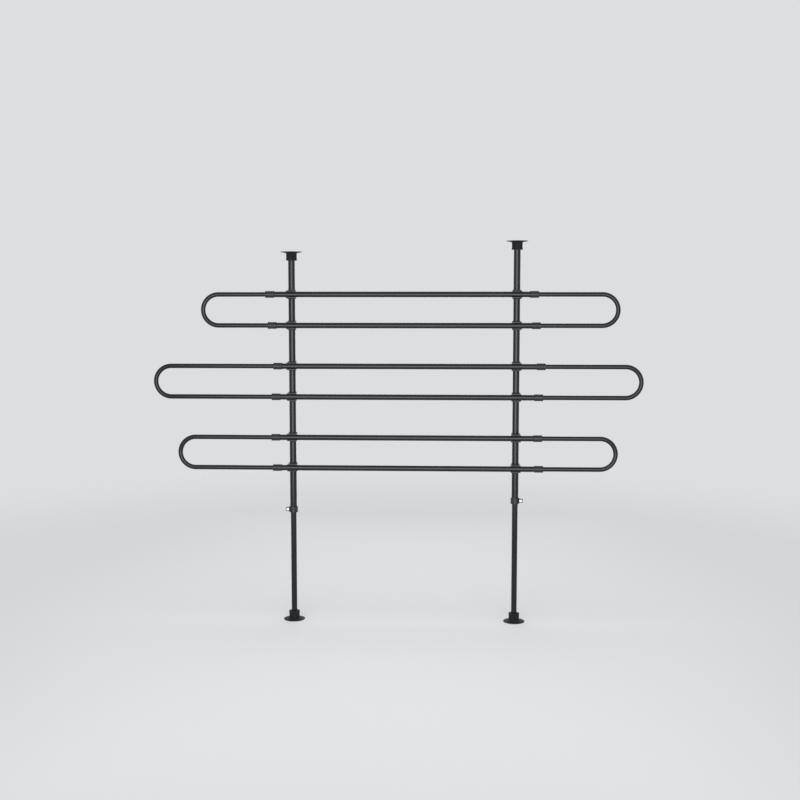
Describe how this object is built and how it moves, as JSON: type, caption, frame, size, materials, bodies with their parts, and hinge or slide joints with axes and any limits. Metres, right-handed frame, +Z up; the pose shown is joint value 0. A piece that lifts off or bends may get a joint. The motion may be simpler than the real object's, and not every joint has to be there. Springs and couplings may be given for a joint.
{
  "type": "car dog guard",
  "caption": "Tube dog guard for a car's load space: telescopic floor-to-roof poles carry clamped, sliding tube loops of adjustable width.",
  "frame": {"origin": "middle of the underside of the left floor foot, which stands on the car's floor", "axes": "+Z up along the poles, +X across the car from the left pole to the right pole as seen from the back of the car, +Y towards the front of the car; the loops are on the -Y side"},
  "size_m": [1.3727, 0.06, 1.079],
  "materials": {
    "tube_black": "satin black powder coat on steel tube",
    "end_tube_black": "gloss black coat on the sliding tubes",
    "moulded_nylon": "black moulded nylon",
    "foot_rubber": "black rubber",
    "zinc_steel": "bright zinc plate"
  },
  "bodies": {
    "root": {"left_floor_foot": "foot_rubber", "left_inner_pole": "tube_black"},
    "left_upper": {"left_outer_pole": "tube_black", "left_roof_foot": "foot_rubber", "left_lock_collar": "moulded_nylon"},
    "left_bolt": {"left_lock_bolt": "zinc_steel"},
    "right_upper": {"right_outer_pole": "tube_black", "right_roof_foot": "foot_rubber", "right_lock_collar": "moulded_nylon"},
    "right_bolt": {"right_lock_bolt": "zinc_steel"},
    "right_leg": {"right_inner_pole": "tube_black", "right_floor_foot": "foot_rubber"},
    "top_left_clamps": {"top_upper_left_clamp": "moulded_nylon", "top_upper_left_clamp_screw": "zinc_steel", "top_lower_left_clamp": "moulded_nylon", "top_lower_left_clamp_screw": "zinc_steel"},
    "top_right_clamps": {"top_upper_right_clamp": "moulded_nylon", "top_upper_right_clamp_screw": "zinc_steel", "top_lower_right_clamp": "moulded_nylon", "top_lower_right_clamp_screw": "zinc_steel"},
    "top_bars": {"top_upper_bar": "tube_black", "top_lower_bar": "tube_black", "top_upper_left_collar": "moulded_nylon", "top_upper_right_collar": "moulded_nylon", "top_lower_left_collar": "moulded_nylon", "top_lower_right_collar": "moulded_nylon"},
    "top_left_slide": {"top_left_end": "end_tube_black"},
    "top_right_slide": {"top_right_end": "end_tube_black"},
    "middle_left_clamps": {"middle_upper_left_clamp": "moulded_nylon", "middle_upper_left_clamp_screw": "zinc_steel", "middle_lower_left_clamp": "moulded_nylon", "middle_lower_left_clamp_screw": "zinc_steel"},
    "middle_right_clamps": {"middle_upper_right_clamp": "moulded_nylon", "middle_upper_right_clamp_screw": "zinc_steel", "middle_lower_right_clamp": "moulded_nylon", "middle_lower_right_clamp_screw": "zinc_steel"},
    "middle_bars": {"middle_upper_bar": "tube_black", "middle_lower_bar": "tube_black", "middle_upper_left_collar": "moulded_nylon", "middle_upper_right_collar": "moulded_nylon", "middle_lower_left_collar": "moulded_nylon", "middle_lower_right_collar": "moulded_nylon"},
    "middle_left_slide": {"middle_left_end": "end_tube_black"},
    "middle_right_slide": {"middle_right_end": "end_tube_black"},
    "bottom_left_clamps": {"bottom_upper_left_clamp": "moulded_nylon", "bottom_upper_left_clamp_screw": "zinc_steel", "bottom_lower_left_clamp": "moulded_nylon", "bottom_lower_left_clamp_screw": "zinc_steel"},
    "bottom_right_clamps": {"bottom_upper_right_clamp": "moulded_nylon", "bottom_upper_right_clamp_screw": "zinc_steel", "bottom_lower_right_clamp": "moulded_nylon", "bottom_lower_right_clamp_screw": "zinc_steel"},
    "bottom_bars": {"bottom_upper_bar": "tube_black", "bottom_lower_bar": "tube_black", "bottom_upper_left_collar": "moulded_nylon", "bottom_upper_right_collar": "moulded_nylon", "bottom_lower_left_collar": "moulded_nylon", "bottom_lower_right_collar": "moulded_nylon"},
    "bottom_left_slide": {"bottom_left_end": "end_tube_black"},
    "bottom_right_slide": {"bottom_right_end": "end_tube_black"}
  },
  "joints": [
    {"name": "left_pole_height", "type": "slide", "parent": "root", "child": "left_upper", "axis": [0, 0, 1], "range_m": [-0.25, 0.2]},
    {"name": "left_lock_turn", "type": "hinge", "parent": "left_upper", "child": "left_bolt", "pos_m": [-0.016, 0, 0.32055], "axis": [0, 1, 0], "range_deg": [-360, 0]},
    {"name": "pole_spacing", "type": "slide", "parent": "left_upper", "child": "right_upper", "axis": [1, 0, 0], "range_m": [-0.25, 0]},
    {"name": "right_lock_turn", "type": "hinge", "parent": "right_upper", "child": "right_bolt", "pos_m": [0.646, 0, 0.34955], "axis": [0, 1, 0], "range_deg": [-360, 0]},
    {"name": "right_leg_length", "type": "slide", "parent": "right_upper", "child": "right_leg", "axis": [0, 0, -1], "range_m": [-0.275, 0.171]},
    {"name": "top_loop_height", "type": "slide", "parent": "left_upper", "child": "top_left_clamps", "axis": [0, 0, 1], "range_m": [-0.083, 0.077]},
    {"name": "top_right_clamp_travel", "type": "slide", "parent": "top_left_clamps", "child": "top_right_clamps", "axis": [1, 0, 0], "range_m": [-0.25, 0]},
    {"name": "top_loop_shift", "type": "slide", "parent": "top_left_clamps", "child": "top_bars", "axis": [1, 0, 0], "range_m": [-0.02, 0.026]},
    {"name": "top_left_end_draw", "type": "slide", "parent": "top_bars", "child": "top_left_slide", "axis": [-1, 0, 0], "range_m": [-0.13239, 0.18539]},
    {"name": "top_right_end_draw", "type": "slide", "parent": "top_bars", "child": "top_right_slide", "axis": [1, 0, 0], "range_m": [-0.16944, 0.14834]},
    {"name": "middle_loop_height", "type": "slide", "parent": "left_upper", "child": "middle_left_clamps", "axis": [0, 0, 1], "range_m": [-0.083, 0.083]},
    {"name": "middle_right_clamp_travel", "type": "slide", "parent": "middle_left_clamps", "child": "middle_right_clamps", "axis": [1, 0, 0], "range_m": [-0.25, 0]},
    {"name": "middle_loop_shift", "type": "slide", "parent": "middle_left_clamps", "child": "middle_bars", "axis": [1, 0, 0], "range_m": [-0.035, 0.011]},
    {"name": "middle_left_end_draw", "type": "slide", "parent": "middle_bars", "child": "middle_left_slide", "axis": [-1, 0, 0], "range_m": [-0.28466, 0.03346]},
    {"name": "middle_right_end_draw", "type": "slide", "parent": "middle_bars", "child": "middle_right_slide", "axis": [1, 0, 0], "range_m": [-0.22161, 0.09651]},
    {"name": "bottom_loop_height", "type": "slide", "parent": "left_upper", "child": "bottom_left_clamps", "axis": [0, 0, 1], "range_m": [-0.069, 0.083]},
    {"name": "bottom_right_clamp_travel", "type": "slide", "parent": "bottom_left_clamps", "child": "bottom_right_clamps", "axis": [1, 0, 0], "range_m": [-0.25, 0]},
    {"name": "bottom_loop_shift", "type": "slide", "parent": "bottom_left_clamps", "child": "bottom_bars", "axis": [1, 0, 0], "range_m": [-0.034, 0.015]},
    {"name": "bottom_left_end_draw", "type": "slide", "parent": "bottom_bars", "child": "bottom_left_slide", "axis": [-1, 0, 0], "range_m": [-0.21691, 0.10351]},
    {"name": "bottom_right_end_draw", "type": "slide", "parent": "bottom_bars", "child": "bottom_right_slide", "axis": [1, 0, 0], "range_m": [-0.15776, 0.16266]}
  ],
  "couplings": [
    {"joint": "top_right_clamp_travel", "follows": "pole_spacing", "ratio": 1},
    {"joint": "middle_right_clamp_travel", "follows": "pole_spacing", "ratio": 1},
    {"joint": "bottom_right_clamp_travel", "follows": "pole_spacing", "ratio": 1}
  ]
}
